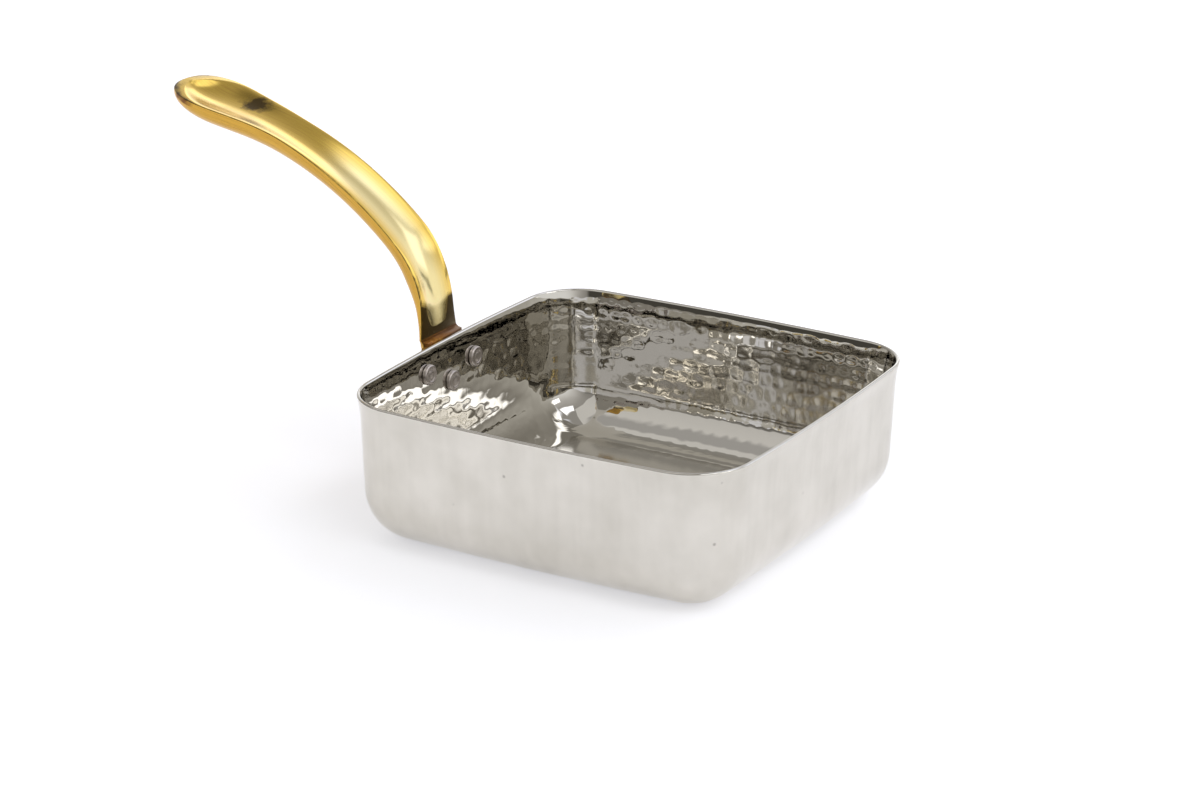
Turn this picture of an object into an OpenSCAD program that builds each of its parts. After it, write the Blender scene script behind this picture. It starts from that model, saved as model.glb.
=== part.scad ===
// Square frying pan: a shallow pan drawn from one sheet, with a dished cast handle held by three rivets.
// Millimetres, +Z up, the handle towards -X. The origin is the middle of the base, on the surface it rests on.

/* [Pan] */
// Width across the rim, from side to side
side = 131; // [110:1:190]
// Height of the rim
pan_h = 45.2; // [40:0.2:70]
// Thickness of the sheet
sheet = 1.2; // [0.8:0.1:2]
// How far each side bows out at its middle
side_bow = 2.5; // [0.5:0.1:4]
// Outside radius of the corners, at the rim
rim_corner = 19.2; // [14:0.1:30]
// How much further in the wall stands at the base than at the rim
draft = 1.8; // [0.4:0.1:4]
// Outside radius from the wall into the base
base_fillet = 16; // [5:0.5:20]
// How far the lip turns out
lip_out = 0.9; // [0:0.1:1.5]
// Height of the stretch of wall that turns out
lip_h = 10; // [5:0.5:16]

/* [Handle path] */
// Lean of the handle's root away from the pan, in degrees
root_lean = 3.5; // [0:0.5:12]
// Length of the straight root above the rim
root_len = 9; // [8:0.5:20]
// Radius of the elbow above the root
elbow_rad = 34.5; // [24:0.5:60]
// Angle of the elbow
elbow_turn = 44; // [25:1:55]
// Radius of the arm's long bend
arm_rad = 124; // [80:1:250]
// Angle of the arm's bend
arm_turn = 29; // [15:1:35]
// Length of the straight stretch at the tip
tip_len = 27.5; // [22:0.5:50]

/* [Handle section] */
// Width at the rim
root_w = 20; // [18:0.2:22]
// Width at the waist, just above the root
waist_w = 17.6; // [14:0.2:19]
// Height of the waist above the straight root
waist_up = 6.5; // [3:0.5:10]
// Width along the arm
arm_w = 19.3; // [16:0.1:26]
// Width that the spoon swells towards
spoon_w = 29; // [22:0.5:36]
// Length over which the spoon swells
spoon_len = 44.5; // [35:0.5:55]
// Length over which the tip rounds off
tip_round = 19.5; // [12:0.5:22]
// Thickness at the rim, behind the face
root_t = 2.3; // [1.5:0.1:4]
// Thickness along the arm
arm_t = 6.3; // [5:0.1:9]
// Height above the straight root at which the arm has that thickness
thick_up = 12; // [6:0.5:20]
// Thickness under the spoon
spoon_t = 7.7; // [6:0.1:10]
// Distance along the arm's bend at which the belly under the spoon begins
belly_start = 15; // [5:1:30]
// Distance from the tip at which that belly is full
belly_end = 10; // [5:1:20]
// Depth of the dish along the arm
arm_dish = 2.2; // [1:0.1:3]
// Depth of the dish in the spoon
spoon_dish = 3.2; // [1.5:0.1:4]
// Height of the dish's lower end above the flange's shelf
dish_start = 2.5; // [1:0.1:4]
// Height above the straight root at which the dish is fully wide
dish_up = 5.5; // [2:0.5:8]
// Length after that in which it gets fully deep
dish_deepen = 4; // [1:0.5:8]
// Width of the flat land between dish and side
land = 0.6; // [0.3:0.1:1.5]
// Width of the flat land round the tip of the spoon
tip_land = 2.4; // [1.5:0.1:4]

/* [Flange and rivets] */
// Thickness of the flange over the lip
flange_t = 2.6; // [2.2:0.1:5]
// Rise of the flange's sloping shelf from the rim to the root
shelf_h = 0.8; // [0.4:0.1:3]
// How much further in the shelf's ends stand at the rim than at the root
neck_in = 1.8; // [0:0.1:2.4]
// Width of the flange left round the middle of each rivet
flange_edge = 6; // [5:0.1:7]
// Radius of the hollow between the flange and the root
shoulder = 2.5; // [1:0.1:4]
// Rounding of the flange's outer edge
edge_round = 1; // [0.4:0.1:1.6]
// Length of the foot in which the root dies out on the flange
foot_len = 8.5; // [5:0.5:9]
// Distance between the two upper rivets
rivet_spread = 26; // [24:0.2:32]
// How far the hand-set rivets stand off the handle's middle, towards -Y
rivet_shift = 1.2; // [-1.5:0.1:1.5]
// Depth of the left rivet below the rim
left_drop = 7.6; // [7.4:0.1:10.5]
// Depth of the right rivet below the rim
right_drop = 9.4; // [7.4:0.1:10.5]
// Depth of the lower rivet below the rim
lower_drop = 13.3; // [12.8:0.1:18]
// Diameter of the shanks
shank_d = 4.8; // [3:0.1:5.6]
// Diameter of the heads
head_d = 6.4; // [6:0.1:8.4]
// Height of the flat heads inside the pan
head_h = 1.3; // [0.6:0.1:2]
// Height of the domed heads on the flange
dome_h = 1.6; // [1:0.1:2.6]
// Gap between the wall and the flange
seat_gap = 0.1; // [0.05:0.01:0.2]
// Gap round each shank
shank_gap = 0.05; // [0.02:0.01:0.15]
// Gap under the heads inside the pan
head_gap = 0.15; // [0.12:0.01:0.3]
// Gap under the domed heads
dome_gap = 0.05; // [0.03:0.01:0.2]

/* [Hidden] */

// Steps in the outline and the profile of the shell
side_steps = 6;
corner_steps = 9;
fillet_steps = 8;
lip_steps = 5;
round_steps = 4;

// The side arcs share one centre across the pan and the corner arcs another, whatever the inset
side_rad = (pow(side / 2, 2) + pow(side_bow, 2)) / (2 * side_bow);
side_centre = side_rad - side / 2;
corner_centre = (sqrt(2 * pow(side_rad - rim_corner, 2) - pow(side_centre, 2)) - side_centre) / 2;
side_turn = atan2(corner_centre, corner_centre + side_centre);

// The wall's lean, and the base fillet, which leaves the flat of the base a least corner radius
wall_lean = atan2(draft, pan_h);
least_corner = 0.4;
fillet_r = min(base_fillet, rim_corner - draft - lip_out - least_corner);
fillet_top = fillet_r * (1 - sin(wall_lean));
fillet_in = wall_in(fillet_top) + fillet_r * cos(wall_lean);

// How far inside the rim's outline the wall's outer face stands at height z
function lip_rise(z) = max(0, (z - pan_h + lip_h) / lip_h);
function lip_in(z) = lip_out * (1 - pow(lip_rise(z), 3));
function wall_in(z) = draft * (1 - z / pan_h) + lip_in(z);

// One quarter of the shell's outline: a bowed side, then a corner
function quarter(inset) = concat(
    [for (i = [0:side_steps - 1])
        let (a = side_turn * (2 * i / side_steps - 1), r = side_rad - inset)
        [r * cos(a) - side_centre, r * sin(a)]],
    [for (i = [0:corner_steps - 1])
        let (a = side_turn + (90 - 2 * side_turn) * i / corner_steps, r = rim_corner - inset)
        [corner_centre + r * cos(a), corner_centre + r * sin(a)]]
);

function turned(p, a) = [p.x * cos(a) - p.y * sin(a), p.x * sin(a) + p.y * cos(a)];

function outline_ring(inset, z) = [
    for (q = [0:3])
        for (p = quarter(inset))
            let (t = turned(p, 90 * q)) [t.x, t.y, z]
];

// Profile of the shell as [inset, height], up the outside, over the lip and down the inside
outer_fillet = [for (i = [0:fillet_steps])
    let (a = (90 - wall_lean) * i / fillet_steps) [fillet_in - fillet_r * sin(a), fillet_r * (1 - cos(a))]];
outer_lip = [for (i = [0:lip_steps])
    let (z = pan_h - lip_h + (lip_h - sheet / 2) * i / lip_steps) [wall_in(z), z]];
lip_edge = [for (i = [1:round_steps - 1])
    let (a = 180 * i / round_steps, r = sheet / 2)
    [wall_in(pan_h - r) + r * (1 - cos(a)), pan_h - r + r * sin(a)]];
inner_lip = [for (i = [lip_steps:-1:0]) [outer_lip[i].x + sheet, outer_lip[i].y]];
inner_fillet = [for (i = [fillet_steps:-1:0])
    let (a = (90 - wall_lean) * i / fillet_steps, r = fillet_r - sheet)
    [fillet_in - r * sin(a), fillet_r - r * cos(a)]];
shell_profile = concat(outer_fillet, outer_lip, lip_edge, inner_lip, inner_fillet);

// Middle of a ring of points
function middle(ring) = [for (i = [0:2]) [for (p = ring) p[i]] * [for (p = ring) 1] / len(ring)];

// Skin over a list of rings with equally many points, closed by a fan of faces at each end
module loft(rings) {
    n = len(rings[0]);
    last = (len(rings) - 1) * n;
    centre = len(rings) * n;
    points = concat([for (ring = rings) each ring], [middle(rings[0]), middle(rings[len(rings) - 1])]);
    sides = [
        for (j = [0:len(rings) - 2])
            for (i = [0:n - 1])
                let (a = j * n + i, b = j * n + (i + 1) % n)
                each [[a, a + n, b + n], [a, b + n, b]]
    ];
    caps = [for (i = [0:n - 1]) let (k = (i + 1) % n) each [[i, k, centre], [last + k, last + i, centre + 1]]];
    polyhedron(points, concat(sides, caps));
}

// Frame on the wall below the handle: x along the rim, y up the leaning wall from the rim, z outwards
module on_wall() {
    translate([-side / 2, 0, pan_h]) rotate([0, -wall_lean, 0]) rotate([90, 0, -90]) children();
}

// How far the bowed wall stands behind that frame's plane, across and below the rim
function wall_behind(across, drop) =
    lip_in(pan_h - drop) + side_rad - sqrt(pow(side_rad, 2) - pow(across, 2));

// Places of the rivets in that frame, whose x runs towards -Y of the pan
left_rivet = [rivet_shift + rivet_spread / 2, -left_drop];
right_rivet = [rivet_shift - rivet_spread / 2, -right_drop];
lower_rivet = [rivet_shift, -lower_drop];

module rivet_holes() {
    reach = 3 * (flange_t + sheet);
    on_wall()
        for (p = [left_rivet, right_rivet, lower_rivet])
            translate([p.x, p.y, -reach])
                cylinder(r = shank_d / 2 + shank_gap, h = 2 * reach, $fn = 48);
}

module pan_body() {
    color("#D6D3CC")
        difference() {
            loft([for (p = shell_profile) outline_ring(p.x, p.y)]);
            rivet_holes();
        }
}

// Stations along the handle's face, from the rim: ends of the root, the elbow and the arm, and the tip
elbow_from = root_len;
arm_from = elbow_from + elbow_rad * elbow_turn * PI / 180;
tip_from = arm_from + arm_rad * arm_turn * PI / 180;
handle_len = tip_from + tip_len;
waist_at = root_len + waist_up;
arm_t_at = root_len + thick_up;
belly_from = arm_from + belly_start;
belly_to = handle_len - belly_end;
dish_from = shelf_h + dish_start;
dish_full = root_len + dish_up;
round_from = handle_len - tip_round;
root_sink = 0.1;
bury = 0.8;

// Moves a point [x, z, heading] along a straight or along an arc; the heading turns from +Z towards -X
function ahead(p, s) = [p.x - s * sin(p.z), p.y + s * cos(p.z), p.z];
function round_bend(p, r, s) =
    let (h = p.z + s / r * 180 / PI) [p.x + r * (cos(h) - cos(p.z)), p.y + r * (sin(h) - sin(p.z)), h];

root_start = [-side / 2 - flange_t + root_sink, pan_h, root_lean];
elbow_start = ahead(root_start, root_len);
arm_start = round_bend(elbow_start, elbow_rad, arm_from - elbow_from);
tip_start = round_bend(arm_start, arm_rad, tip_from - arm_from);

function spine(s) =
    s < elbow_from ? ahead(root_start, s)
    : s < arm_from ? round_bend(elbow_start, elbow_rad, s - elbow_from)
    : s < tip_from ? round_bend(arm_start, arm_rad, s - arm_from)
    : ahead(tip_start, s - tip_from);

function clamp(t) = min(max(t, 0), 1);
function ease(t) = let (c = clamp(t)) c * c * (3 - 2 * c);
function super(u, power) = pow(max(1 - pow(u, power), 0), 1 / power);

// Half width, thickness and dish at station s; a station below the rim lies on the foot
tip_power = 2.5;
function foot(s) = s < 0 ? max(sqrt(1 - pow(s / foot_len, 2)), 0.06) : 1;
function tip_close(s, power) = super(clamp((s - round_from) / tip_round), power);
function half_w(s) = foot(s) * tip_close(s, tip_power) * (
    waist_w / 2
    + (root_w - waist_w) / 2 * pow(clamp(1 - s / waist_at), 2)
    + (arm_w - waist_w) / 2 * ease((s - waist_at) / (arm_from - waist_at))
    + (spoon_w - arm_w) / 2 * ease((s - handle_len + spoon_len) / spoon_len)
);
function thick(s) = foot(s) * tip_close(s, 2) * (
    root_t
    + (arm_t - root_t) * ease(s / arm_t_at)
    + (spoon_t - arm_t) * ease((s - belly_from) / (belly_to - belly_from))
);
function dish_end(s) = super(clamp((s - round_from) / (tip_round - tip_land)), tip_power);
function dish_open(s) = pow(clamp((s - dish_from) / (dish_full - dish_from)), 0.6);
function dish_half(s) = max((half_w(s) - land) * dish_end(s) * dish_open(s), half_w(s) * 0.1);
function dish_depth(s) =
    (arm_dish + (spoon_dish - arm_dish) * ease((s - handle_len + spoon_len) / spoon_len))
    * ease((s - dish_from) / (dish_full + dish_deepen - dish_from)) * pow(dish_end(s), 1.5);
function sunk(s) = bury * clamp(1 - s / shelf_h);

// One section of the handle: a full belly from edge to edge, then back across the dished face
under_steps = 14;
dish_steps = 10;
belly_power = 2.5;
function bulge(v) = sign(v) * pow(abs(v), 2 / belly_power);
function section(s) = concat(
    [for (i = [0:under_steps])
        let (a = 180 * i / under_steps, f = sunk(s))
        [half_w(s) * bulge(cos(a)), f - (thick(s) + f) * bulge(sin(a))]],
    [for (i = [0:dish_steps])
        let (u = 2 * i / dish_steps - 1)
        [dish_half(s) * u, sunk(s) - dish_depth(s) * (1 - u * u)]]
);
function section_ring(s) =
    let (p = spine(s))
    [for (q = section(s)) [p.x + q.y * cos(p.z), q.x, p.y + q.y * sin(p.z)]];

function between(from, to, steps) = [for (i = [0:steps - 1]) from + (to - from) * i / steps];
stations = concat(
    [for (i = [0:4]) -foot_len * cos(90 * i / 5)],
    between(0, shelf_h, 1),
    between(shelf_h, dish_from, 2),
    between(dish_from, elbow_from, 5),
    between(elbow_from, arm_from, 9),
    between(arm_from, tip_from, 12),
    between(tip_from, round_from, 2),
    [for (i = [0:8]) round_from + tip_round * sin(90 * i / 8.2)]
);

module stem() {
    loft([for (s = stations) section_ring(s)]);
}

// One half of the flange's outline from the bottom up: lower lobe, upper lobe, hollow shoulder, neck.
// It is drawn for the side of +x, with the rivets shifted that way, and mirrored for the other
least_neck = 0.2;
function arc(c, r, from, to, steps) =
    [for (i = [0:steps]) let (a = from + (to - from) * i / steps) [c.x + r * cos(a), c.y + r * sin(a)]];
function flange_half(shift, drop, inset, z) =
    let (
        upper = [shift + rivet_spread / 2, -drop],
        lobe_turn = atan2(lower_drop - drop, rivet_spread / 2) - 90,
        rise = clamp(z / flange_t),
        neck = root_w / 2 - neck_in * (1 - rise),
        hollow = min(shoulder, upper.x - root_w / 2, drop - flange_edge - least_neck)
    )
    concat(
        arc([shift, -lower_drop], flange_edge - inset, -90, lobe_turn, 3),
        arc(upper, flange_edge - inset, lobe_turn, 90, 12),
        arc([neck + hollow, flange_edge + hollow - drop], hollow + inset, 270, 180, 5),
        [[neck - inset, shelf_h * rise]]
    );
function flange_ring(inset, z) =
    let (near = flange_half(rivet_shift, left_drop, inset, z), far = flange_half(-rivet_shift, right_drop, inset, z))
    concat([for (i = [len(far) - 1:-1:1]) [-far[i].x, far[i].y, z]], [for (p = near) [p.x, p.y, z]]);

module flange() {
    on_wall()
        loft(concat(
            [flange_ring(0, -3 * sheet)],
            [for (i = [0:round_steps])
                let (a = 90 * i / round_steps)
                flange_ring(edge_round * (1 - cos(a)), flange_t - edge_round * (1 - sin(a)))]
        ));
}

// Everything inside the wall's outer face, and the space above the rim, grown by the seat gap
module wall_clearance() {
    foot_z = pan_h - 1.3 * (lower_drop + flange_edge);
    levels = concat([foot_z], [for (p = outer_lip) p.y], [pan_h]);
    loft(concat(
        [for (z = levels) outline_ring(wall_in(z) - seat_gap, z)],
        [outline_ring(-seat_gap, pan_h + 3 * shelf_h)]
    ));
}

module handle() {
    color("#C9A24A")
        difference() {
            union() {
                stem();
                flange();
            }
            wall_clearance();
            rivet_holes();
        }
}

// A rivet: flat button head inside the pan, shank through wall and flange, domed head on the flange
module rivet(place) {
    inner = -wall_behind(place.x, -place.y) - sheet - head_gap;
    outer = flange_t + dome_gap;
    head_r = head_d / 2;
    shank_r = shank_d / 2;
    button_round = head_h * 0.45;
    dome_rad = (pow(head_r, 2) + pow(dome_h, 2)) / (2 * dome_h);
    dome_turn = asin(head_r / dome_rad);
    profile = concat(
        [[0, inner - head_h]],
        arc([head_r - button_round, inner - head_h + button_round], button_round, -90, 0, 4),
        [[head_r, inner], [shank_r, inner], [shank_r, outer], [head_r, outer]],
        arc([0, outer + dome_h - dome_rad], dome_rad, 90 - dome_turn + dome_turn / 6, 90, 5)
    );
    color("#CDCAC4")
        on_wall()
            translate(place) rotate_extrude($fn = 64) polygon([for (p = profile) [max(p.x, 0), p.y]]);
}

module rivet_left() {
    rivet(left_rivet);
}

module rivet_right() {
    rivet(right_rivet);
}

module rivet_lower() {
    rivet(lower_rivet);
}

pan_body();
handle();
rivet_left();
rivet_right();
rivet_lower();
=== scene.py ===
"""Looks of a small square frying pan: hammered stainless sheet, a dished brass handle and three
steel rivets."""

import math
import random

import bpy
from mathutils import Matrix, Vector
from mathutils.kdtree import KDTree


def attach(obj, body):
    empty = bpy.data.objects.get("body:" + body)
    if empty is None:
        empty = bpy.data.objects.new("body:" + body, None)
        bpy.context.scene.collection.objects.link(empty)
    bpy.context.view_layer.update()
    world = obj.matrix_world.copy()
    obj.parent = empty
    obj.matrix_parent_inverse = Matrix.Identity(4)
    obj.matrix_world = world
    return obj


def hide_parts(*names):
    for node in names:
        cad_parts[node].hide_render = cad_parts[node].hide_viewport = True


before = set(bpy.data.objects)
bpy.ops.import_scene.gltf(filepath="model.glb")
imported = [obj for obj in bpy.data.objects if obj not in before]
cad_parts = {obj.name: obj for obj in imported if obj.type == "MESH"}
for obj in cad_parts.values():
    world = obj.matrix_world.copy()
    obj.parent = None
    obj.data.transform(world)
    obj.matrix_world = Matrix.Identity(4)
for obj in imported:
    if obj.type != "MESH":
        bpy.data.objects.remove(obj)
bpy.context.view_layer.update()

MM = 0.001

# The pan's sheet, in millimetres, as in the solid
SIDE = 131.0
PAN_H = 45.2
SHEET = 1.2
SIDE_BOW = 2.5
RIM_CORNER = 19.2
DRAFT = 1.8
BASE_FILLET = 16.0
LIP_OUT = 0.9
LIP_H = 10.0

# Each bowed side is an arc about a far centre, each corner an arc about a near one
SIDE_RAD = ((SIDE / 2) ** 2 + SIDE_BOW ** 2) / (2 * SIDE_BOW)
SIDE_CENTRE = SIDE_RAD - SIDE / 2
CORNER_CENTRE = (math.sqrt(2 * (SIDE_RAD - RIM_CORNER) ** 2 - SIDE_CENTRE ** 2) - SIDE_CENTRE) / 2
SIDE_TURN = math.atan2(CORNER_CENTRE, CORNER_CENTRE + SIDE_CENTRE)
CORNER_TURN = math.pi / 2 - 2 * SIDE_TURN
WALL_LEAN = math.atan2(DRAFT, PAN_H)

# Points of the pan's profile, from the inside floor over the rim to the base, and round its outline
INNER_FILLET_STEPS, INNER_WALL_STEPS, INNER_LIP_STEPS = 30, 28, 13
RIM_STEPS = 6
OUTER_LIP_STEPS, OUTER_WALL_STEPS, OUTER_FILLET_STEPS = 8, 16, 22
HALF_SIDE_STEPS, CORNER_STEPS = 80, 34

# Where the sweep's two ends meet: how near they lie, what is merged, and the trace by which the
# whole is drawn in, because so long a sweep drifts outwards
SEAM_REACH, SEAM_MERGE, DRAW_IN = 0.1, 0.05, 0.9995
FLOOR_BAND = 0.7

# The hammer's rows, in millimetres from the rim down the wall and the fillet, and a row's blows
FIRST_ROW, LAST_ROW, ROW_STEP, BLOW_STEP = 3.0, 52.0, 4.1, 4.4
BLOW_DEPTH, BLOW_ROUND = (0.02, 0.09), (24, 48)
# How many blows near a point count, how softly they meet, and how deep they go together
NEAREST, MEETING, DEEPEST = 6, 0.007, 0.1
# A blow is wider along the wall than up it, and a fifth of its depth shows outside
ALONG_WALL, UP_WALL, SHOWN_OUTSIDE = 0.7, 1.4, 0.2

# The handle's path, in millimetres and degrees, as in the solid, with its tip a trace shorter
ROOT_LEAN, ROOT_LEN = 3.5, 9.0
ELBOW_RAD, ELBOW_TURN = 34.5, 44.0
ARM_RAD, ARM_TURN = 124.0, 29.0
TIP_LEN = 27.46

# Its widths, as in the solid, from the root over the waist and the arm to the spoon
ROOT_W, WAIST_W, ARM_W, SPOON_W = 20.0, 17.6, 19.3, 29.0
WAIST_UP, SPOON_LEN, TIP_ROUND = 6.5, 44.5, 19.5
LAND, TIP_LAND = 0.6, 2.4

# Its thickness, with a belly a little flatter than the solid's, and its shallower, longer hollow
ROOT_T, ARM_T, SPOON_T = 2.3, 6.3, 7.4
THICK_UP, BELLY_START, BELLY_END = 12.0, 15.0, 10.0
ARM_DISH, SPOON_DISH = 1.45, 2.6
DISH_START, DISH_OPEN, DISH_DEEPEN = 2.5, 27.7, 14.0

# The foot that goes down into the flange, and the flange and its shelf, as in the solid
FOOT_LEN, BURY = 8.5, 0.8
FLANGE_T, SHELF_H = 2.6, 0.8

# The handle's section: its rounded belly, the filed edge, and the curve across the hollow
BELLY_STEPS, EDGE_STEPS, DISH_STEPS = 40, 3, 36
BELLY_POWER, TIP_POWER, DISH_CURVE = 2.5, 2.5, 1.4
EDGE = 0.14
# A section starts with its belly's points, which have one more beside each edge
BELLY_POINTS = BELLY_STEPS + 3

# Painted dark reflection where the spoon begins: place along and across the handle, half its size
PAINTED_REFLECTION_AT, PAINTED_REFLECTION_SIZE = (102.0, 6.4), (5.0, 5.2)
# The unpolished root ends this far up
ROOT_BROWN = 11.5

# The rivets, as in the solid, then each one's place across and below the rim, and its turn
HEAD_D, SHANK_D, HEAD_H, DOME_H, HEAD_GAP, DOME_GAP = 6.4, 4.8, 1.3, 1.6, 0.15, 0.05
RIVETS = {"rivet_left": (14.2, 7.6, 0.4),
          "rivet_right": (-11.8, 9.4, 2.1),
          "rivet_lower": (1.2, 13.3, 4.4)}

# The Mix node's sockets by number, because its colour and number sockets share their names
FACTOR, FIRST_NUMBER, SECOND_NUMBER, FIRST_COLOUR, SECOND_COLOUR = 0, 2, 3, 6, 7
MIXED_NUMBER, MIXED_COLOUR = 0, 2

ALONG_Y, UPRIGHT = (0, 1, 0), (0, 0, 1)
WHITE = (1, 1, 1, 1)


# ---- small tools ---------------------------------------------------------------------------------

def linear(code):
    """A hex colour as it looks on screen, turned to the linear values that shaders take."""
    channels = [int(code[i:i + 2], 16) / 255 for i in (1, 3, 5)]
    return [c / 12.92 if c <= 0.04045 else ((c + 0.055) / 1.055) ** 2.4 for c in channels] + [1.0]


def clamp(t):
    return min(max(t, 0.0), 1.0)


def ease(t):
    """From 0 to 1, with a soft start and a soft end."""
    c = clamp(t)
    return c * c * (3 - 2 * c)


def rounding(u, power):
    """A quarter of a rounded square: 1 at u = 0, and down to 0 at u = 1."""
    return max(1 - u ** power, 0.0) ** (1 / power)


def pick(piece):
    """Selects the piece, and nothing else, in object mode."""
    if bpy.context.object and bpy.context.object.mode != "OBJECT":
        bpy.ops.object.mode_set(mode="OBJECT")
    bpy.ops.object.select_all(action="DESELECT")
    piece.select_set(True)
    bpy.context.view_layer.objects.active = piece


def edit(piece):
    """Opens the piece in edit mode, where points are selected."""
    pick(piece)
    bpy.ops.object.mode_set(mode="EDIT")
    bpy.ops.mesh.select_mode(type="VERT")


def point_outwards():
    """Turns all faces of the piece in edit mode outwards, and goes back to object mode."""
    bpy.ops.mesh.select_all(action="SELECT")
    bpy.ops.mesh.normals_make_consistent(inside=False)
    bpy.ops.object.mode_set(mode="OBJECT")


def start_profile(name, x, z):
    """A new piece that is one point of the plane y = 0, in millimetres, selected in edit mode."""
    bpy.ops.mesh.primitive_plane_add(size=MM, location=(x * MM, 0, z * MM))
    piece = bpy.context.object
    piece.name = piece.data.name = name
    bpy.ops.object.transform_apply(location=True)
    edit(piece)
    bpy.ops.mesh.select_all(action="SELECT")
    bpy.ops.mesh.merge(type="CENTER")
    return piece


def draw_to(x, z):
    """Extrudes the selected point of a profile to (x, z) of the plane y = 0, in millimetres."""
    bpy.context.object.update_from_editmode()
    at = next(v.co for v in bpy.context.object.data.vertices if v.select)
    step = (x * MM - at.x, 0, z * MM - at.z)
    bpy.ops.mesh.extrude_region_move(TRANSFORM_OT_translate={"value": step})


def spin(steps, angle, centre, axis):
    """Sweeps what is selected about an axis, counter-clockwise. With no window the operator turns
    the other way."""
    bpy.ops.mesh.spin(steps=steps, angle=-angle, center=centre, axis=axis)


def settle(piece):
    """Writes the piece's place into its mesh and lets it ride on the pan's one body."""
    pick(piece)
    bpy.ops.object.transform_apply(location=True, rotation=True, scale=True)
    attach(piece, "root")


def add_node(tree, kind, values=None, links=None, **settings):
    """A node with its settings, its input values and what is linked to its inputs."""
    node = tree.nodes.new(kind)
    for name, value in settings.items():
        setattr(node, name, value)
    for key, value in (values or {}).items():
        node.inputs[key].default_value = value
    for key, socket in (links or {}).items():
        tree.links.new(socket, node.inputs[key])
    return node


# ---- the pan -------------------------------------------------------------------------------------

def lip_in(z):
    """How far the lip's stretch still stands inside the rim's outline, in millimetres."""
    return LIP_OUT * (1 - max(0.0, (z - PAN_H + LIP_H) / LIP_H) ** 3)


def wall_in(z):
    """How far the wall's outside stands inside the rim's outline at height z."""
    return DRAFT * (1 - z / PAN_H) + lip_in(z)


FILLET_TOP = BASE_FILLET * (1 - math.sin(WALL_LEAN))
FILLET_IN = wall_in(FILLET_TOP) + BASE_FILLET * math.cos(WALL_LEAN)


def draw_wall(start, rise, steps, inset):
    """Draws the profile up or down the wall from height start, at an inset from its outside."""
    for i in range(1, steps + 1):
        z = start + rise * i / steps
        draw_to(SIDE / 2 - wall_in(z) - inset, z)


def pan_profile():
    """One thread from the inside floor up the wall, over the lip and down outside to the base."""
    half = SIDE / 2
    lip_from, lip_top = PAN_H - LIP_H, PAN_H - SHEET / 2
    pan = start_profile("pan_hammered_sheet", half - FILLET_IN, SHEET)
    turn = math.pi / 2 - WALL_LEAN
    middle = ((half - FILLET_IN) * MM, 0, BASE_FILLET * MM)
    spin(INNER_FILLET_STEPS, -turn, middle, ALONG_Y)
    inner_top = FILLET_TOP + SHEET * math.sin(WALL_LEAN)
    draw_wall(inner_top, lip_from - FILLET_TOP, INNER_WALL_STEPS, SHEET)
    draw_wall(lip_from, lip_top - lip_from, INNER_LIP_STEPS, SHEET)
    crown = ((half - wall_in(lip_top) - SHEET / 2) * MM, 0, lip_top * MM)
    spin(RIM_STEPS, math.pi, crown, ALONG_Y)
    draw_wall(lip_top, lip_from - lip_top, OUTER_LIP_STEPS, 0.0)
    draw_wall(lip_from, FILLET_TOP - lip_from, OUTER_WALL_STEPS, 0.0)
    spin(OUTER_FILLET_STEPS, turn, middle, ALONG_Y)
    return pan


def sweep_round(pan):
    """Sweeps the profile round the pan: half a side, then a corner and a side four times over, of
    which the last side is a half one. Then the two ends are joined."""
    bpy.ops.mesh.select_all(action="SELECT")
    for quarter in range(5):
        turned = Matrix.Rotation(quarter * math.pi / 2, 3, "Z")
        halves = 2 if 0 < quarter < 4 else 1
        centre = turned @ Vector((-SIDE_CENTRE * MM, 0, 0))
        spin(HALF_SIDE_STEPS * halves, SIDE_TURN * halves, centre, UPRIGHT)
        if quarter < 4:
            centre = turned @ Vector((CORNER_CENTRE * MM, CORNER_CENTRE * MM, 0))
            spin(CORNER_STEPS, CORNER_TURN, centre, UPRIGHT)
    bpy.ops.mesh.select_all(action="DESELECT")
    bpy.ops.object.mode_set(mode="OBJECT")
    for point in pan.data.vertices:
        point.select = abs(point.co.y) < SEAM_REACH * MM and point.co.x > 0
    bpy.ops.object.mode_set(mode="EDIT")
    bpy.ops.mesh.remove_doubles(threshold=SEAM_MERGE * MM)
    bpy.ops.mesh.select_all(action="SELECT")
    bpy.ops.transform.resize(value=(DRAW_IN, DRAW_IN, 1))


def close_floor(z):
    """Closes the open ring at height z, in millimetres, with a flat floor and a narrow band round
    it, which keeps the floor's shading flat."""
    bpy.ops.mesh.select_all(action="DESELECT")
    bpy.ops.mesh.select_mode(type="EDGE")
    bpy.ops.mesh.select_non_manifold()
    mesh = bpy.context.object.data
    bpy.context.object.update_from_editmode()
    level = [abs(point.co.z - z * MM) < 0.01 * MM for point in mesh.vertices]
    ring = [e.index for e in mesh.edges if e.select and all(level[v] for v in e.vertices)]
    bpy.ops.mesh.select_all(action="DESELECT")
    bpy.ops.object.mode_set(mode="OBJECT")
    for i in ring:
        mesh.edges[i].select = True
    bpy.ops.object.mode_set(mode="EDIT")
    bpy.ops.mesh.edge_face_add()
    bpy.ops.mesh.select_mode(type="FACE")
    bpy.ops.mesh.inset(thickness=FLOOR_BAND * MM)


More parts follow.
